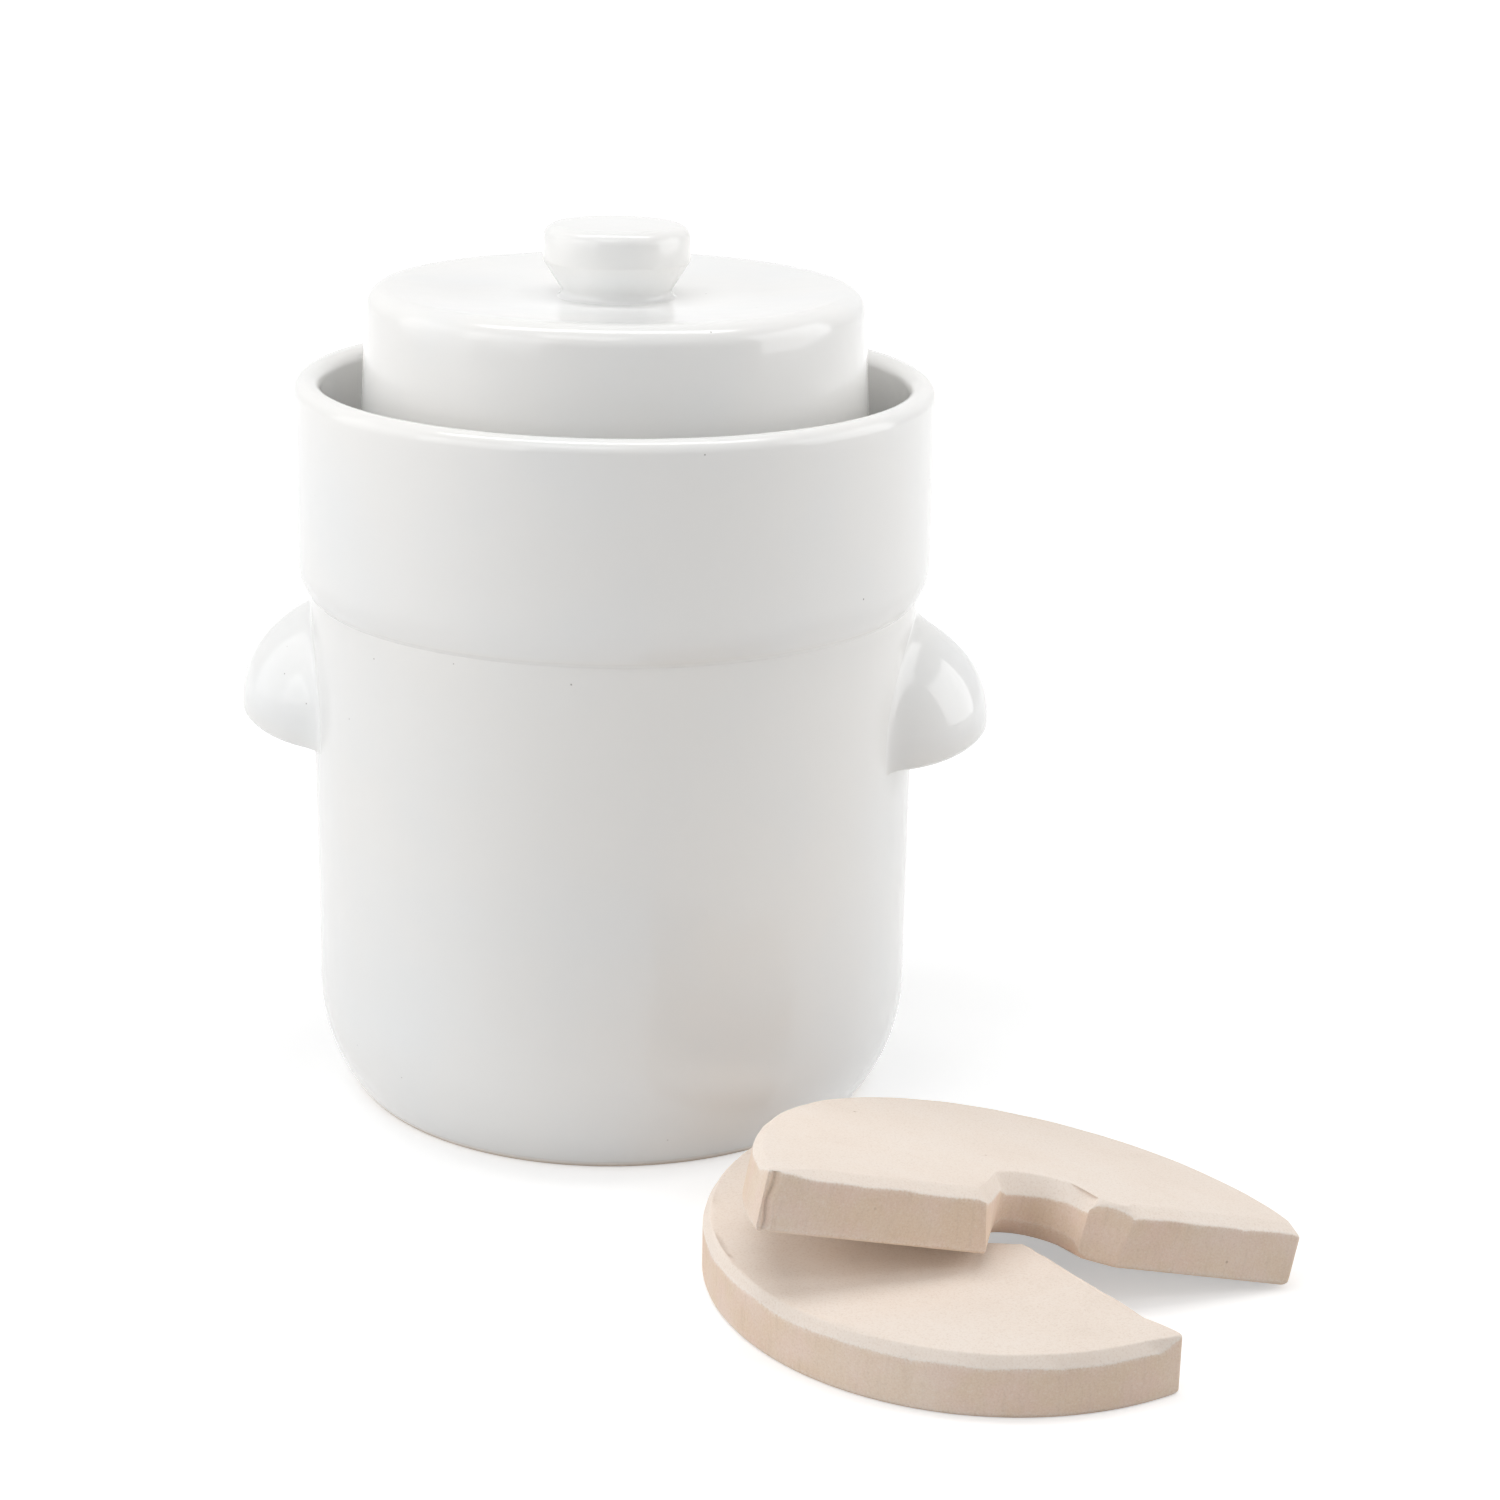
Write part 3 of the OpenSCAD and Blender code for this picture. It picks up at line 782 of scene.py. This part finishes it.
def fired_clay():
    """Matt unglazed clay: fine sand grain, soft blotches, scraped streaks and sides painted in
    shade, darker and warmer than the top, with a painted highlight as a pale line along their
    edges.
    """
    made = bpy.data.materials.new("fired_clay")
    made.use_nodes = True
    tree = made.node_tree
    shader = tree.nodes["Principled BSDF"]
    shader.inputs["Roughness"].default_value = CLAY_ROUGH
    shader.inputs["Specular IOR Level"].default_value = CLAY_SHINE
    place = node(tree, "TexCoord").outputs["Object"]
    side, trim, run, rise = (mark(tree, name) for name in ("side", "trim", "run", "rise"))

    def noise(scale, detail, roughness, at=place):
        made = node(tree, "TexNoise", Vector=at, Scale=scale, Detail=detail, Roughness=roughness)
        return made.outputs["Fac"]

    mottle = noise(120.0, 4.0, 0.55)
    clouds = noise(34.0, 6.0, 0.6)
    grain = noise(1900.0, 3.0, 0.7)
    # The sides take darker, warmer clay than the top as painted shade; the pink blotches on them
    # are the clay's own.
    sides = blend(tree, span(tree, mottle, 0.42, 0.62), SHADED_SIDE_CLAY, PINK_CLAY)
    colour = blend(tree, side, TOP_CLAY, sides)
    colour = blend(tree, span(tree, clouds, 0.46, 0.72, 0.0, 0.3), colour, PALE_CLAY)
    colour = blend(tree, span(tree, clouds, 0.46, 0.25, 0.0, 0.12), colour, DARK_CLAY)
    colour = blend(tree, span(tree, grain, 0.52, 0.75, 0.0, 0.3), colour, DARK_CLAY)
    colour = blend(tree, span(tree, grain, 0.48, 0.28, 0.0, 0.35), colour, PALE_CLAY)
    scraped = node(tree, "CombineXYZ", X=run, Y=times(tree, rise, 0.14)).outputs[0]
    streaks = noise(800.0, 3.0, 0.5, scraped)
    streak = times(tree, span(tree, streaks, 0.52, 0.75, 0.0, 0.14), side)
    colour = blend(tree, streak, colour, DARK_CLAY)
    # Painted highlight: pale, grainy clay along the sides' edges.
    painted_highlight = times(tree, trim, span(tree, grain, 0.62, 0.4, 0.1, 0.7))
    colour = blend(tree, painted_highlight, colour, PALE_CLAY)
    cells = node(tree, "TexVoronoi", Vector=place, Scale=150.0)
    draw = node(tree, "SeparateColor", Color=cells.outputs["Color"]).outputs[0]
    dot = span(tree, cells.outputs["Distance"], 0.07, 0.035)
    pit = times(tree, dot, span(tree, draw, 0.88, 0.9))
    colour = blend(tree, times(tree, pit, 0.7), colour, DARK_CLAY)
    tree.links.new(colour, shader.inputs["Base Color"])
    height = node(tree, "Math", _0=grain, _1=pit)
    height.operation = "SUBTRACT"
    sandy = node(tree, "Bump", Height=height.outputs[0], Distance=SAND_HEIGHT, Strength=0.6)
    dented = node(tree, "Bump", Height=mottle, Distance=MOTTLE_HEIGHT, Strength=0.35,
                  Normal=sandy.outputs[0])
    tree.links.new(dented.outputs[0], shader.inputs["Normal"])
    return made


clay = fired_clay()
lean_tilt = np.arcsin((STONE_T + REST_GAP) / (STONE_R - LEAN_BACK))
on_floor = Matrix.Translation(FLAT_PLACE)
flat_place = on_floor @ Matrix.Rotation(FLAT_TURN + np.pi, 4, "Z")
lean_place = (
    on_floor
    @ Matrix.Rotation(FLAT_TURN + np.pi / 2, 4, "Z")
    @ Matrix.Translation((-SAW_BEVEL, 0, STONE_T + REST_GAP))
    @ Matrix.Rotation(lean_tilt, 4, "Y")
    @ Matrix.Translation((-LEAN_BACK, -LEAN_ALONG, 0))
    @ Matrix.Rotation(LEAN_TURN, 4, "Z")
)
for body, place, seed, scar in (
    ("stone_flat", flat_place, 4, 0),
    ("stone_leaning", lean_place, 11, SCAR_DEPTH),
):
    half = half_stone(f"{body}_half", place, seed, scar)
    half.data.materials.append(clay)
    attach(half, body)
    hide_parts(body)


# Floor and light
# A white table that runs out of view, soft boxes overhead, above the front and at the
# sides, and pale walls that are dimmer on the camera's side, as in a small studio.
FLOOR_SIZE = 30.0
FLOOR_GREY = (0.75, 0.75, 0.75, 1)
FLOOR_GLOW = 0.42
FLOOR_NEAR = 0.35
FLOOR_FAR = 1.2
WHITE = (1, 1, 1, 1)
WALL_LIGHT = 0.26
FRONT_LIGHT = 0.22
FRONT_WAY = (0.22, -0.95, 0.2)
FRONT_FROM = 0.15
FRONT_TO = 0.95
SOFT_BOXES = {
    "top": ((-0.05, 0.05, 1.3), (-0.05, 0, 0.1), 1.4, 0.3, 7.0),
    "top_front": ((-0.2, -0.75, 1.2), (0, 0, 0.12), 0.7, 0.4, 1.7),
    "left": ((-1.3, -0.15, 0.55), (0, 0, 0.15), 1.2, 1.0, 4.2),
    "left_front": ((-0.95, -0.95, 0.6), (0, 0, 0.15), 1.0, 1.0, 5.2),
    "right": ((1.35, 0.1, 0.55), (0, 0, 0.15), 1.2, 1.0, 8.7),
}

floor_mesh = bpy.data.meshes.new("floor")
floor_corners = np.array([(-1, -1, 0), (1, -1, 0), (1, 1, 0), (-1, 1, 0)]) * FLOOR_SIZE / 2
floor_mesh.from_pydata(floor_corners.tolist(), [], [(0, 1, 2, 3)])
floor = bpy.data.objects.new("floor", floor_mesh)
bpy.context.scene.collection.objects.link(floor)


def seen_directly(tree):
    """1 for a camera, glossy or transmission ray, 0 for light that falls on something matt."""
    path = node(tree, "LightPath").outputs
    seen = node(tree, "Math", _0=path["Is Camera Ray"], _1=path["Is Glossy Ray"])
    seen = node(tree, "Math", _0=seen.outputs[0], _1=path["Is Transmission Ray"])
    seen.use_clamp = True
    return seen.outputs[0]


floor_white = bpy.data.materials.new("floor_white")
floor_white.use_nodes = True
tree = floor_white.node_tree
tree.nodes.remove(tree.nodes["Principled BSDF"])
away = node(tree, "VectorMath", _0=node(tree, "TexCoord").outputs["Object"])
away.operation = "LENGTH"
glow = span(tree, away.outputs["Value"], FLOOR_NEAR, FLOOR_FAR, FLOOR_GLOW, 1.0)
matt = node(tree, "BsdfDiffuse", Color=FLOOR_GREY)
shine = node(tree, "Emission", Color=WHITE, Strength=times(tree, seen_directly(tree), glow))
both = node(tree, "AddShader", _0=matt.outputs[0], _1=shine.outputs[0])
tree.links.new(both.outputs[0], tree.nodes["Material Output"].inputs["Surface"])
floor_mesh.materials.append(floor_white)

for name, (stand, target, wide, high, power) in SOFT_BOXES.items():
    lamp = bpy.data.lights.new(f"{name}_light", "AREA")
    lamp.shape = "RECTANGLE"
    lamp.size, lamp.size_y = wide, high
    lamp.energy = power
    box = bpy.data.objects.new(f"{name}_light", lamp)
    facing = (Vector(target) - Vector(stand)).to_track_quat("-Z", "Y")
    box.matrix_world = Matrix.Translation(stand) @ facing.to_matrix().to_4x4()
    bpy.context.scene.collection.objects.link(box)

world = bpy.data.worlds.new("studio")
bpy.context.scene.world = world
world.use_nodes = True
tree = world.node_tree
tree.nodes.clear()
front = node(tree, "VectorMath", _0=node(tree, "TexCoord").outputs["Generated"], _1=FRONT_WAY)
front.operation = "DOT_PRODUCT"
level = span(tree, front.outputs["Value"], FRONT_FROM, FRONT_TO, WALL_LIGHT, FRONT_LIGHT)
walls = node(tree, "Background", Color=WHITE, Strength=level)
white = node(tree, "Background", Color=WHITE, Strength=1.0)
mixed = node(tree, "MixShader", _0=seen_directly(tree), _1=walls.outputs[0], _2=white.outputs[0])
tree.links.new(mixed.outputs[0], node(tree, "OutputWorld").inputs["Surface"])

bpy.context.scene.view_settings.view_transform = "Standard"
